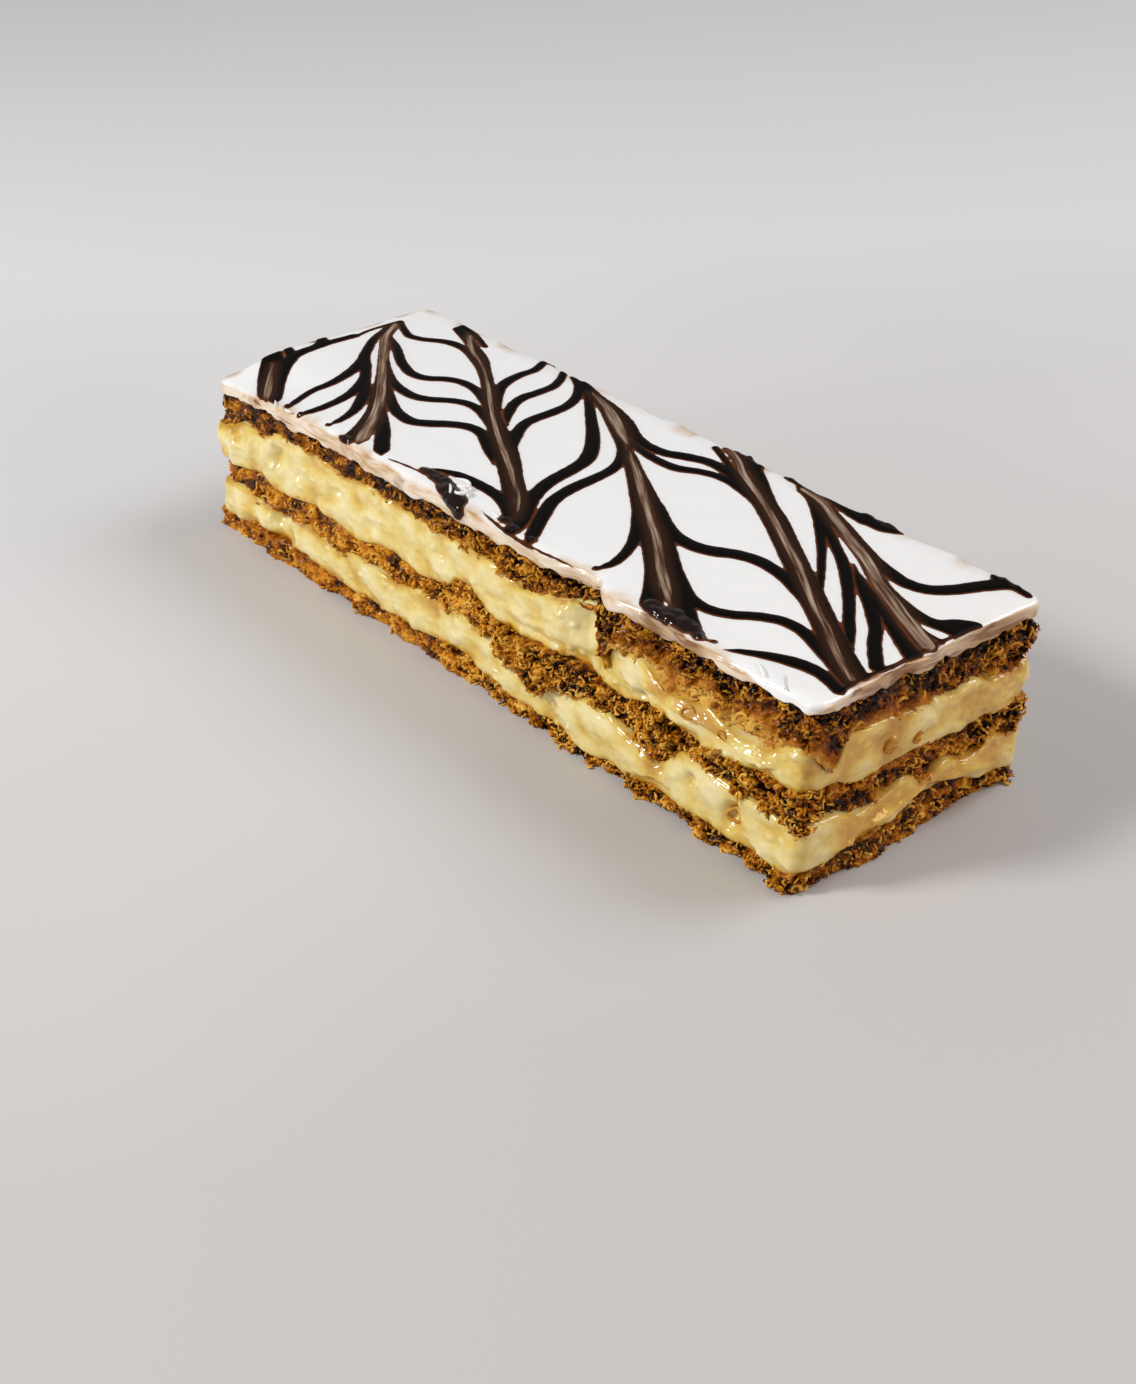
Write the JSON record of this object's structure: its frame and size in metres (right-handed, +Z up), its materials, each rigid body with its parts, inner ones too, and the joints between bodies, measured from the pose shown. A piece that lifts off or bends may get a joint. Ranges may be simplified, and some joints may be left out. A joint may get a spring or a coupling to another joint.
{
  "type": "mille feuille slice",
  "caption": "Rectangular slice of mille feuille: baked puff pastry layered with custard cream, under white icing feathered with chocolate.",
  "frame": {"origin": "centre of the underside, at the middle of the bounding box", "axes": "+X along the slice, -Y out of its long cut face, +Z up"},
  "size_m": [0.137, 0.0462, 0.0278],
  "materials": {
    "baked_pastry": "crisp laminated pastry, golden brown, flaky",
    "caramelised_pastry": "laminated pastry with a dark caramelised sugar glaze",
    "custard_cream": "smooth moist pale yellow pastry cream",
    "fondant_icing": "set white fondant, glossy, feathered with chocolate"
  },
  "bodies": {
    "root": {"pastry_bottom": "baked_pastry", "cream_lower": "custard_cream", "pastry_middle": "baked_pastry", "cream_upper": "custard_cream", "pastry_top": "caramelised_pastry", "icing": "fondant_icing"}
  },
  "joints": []
}
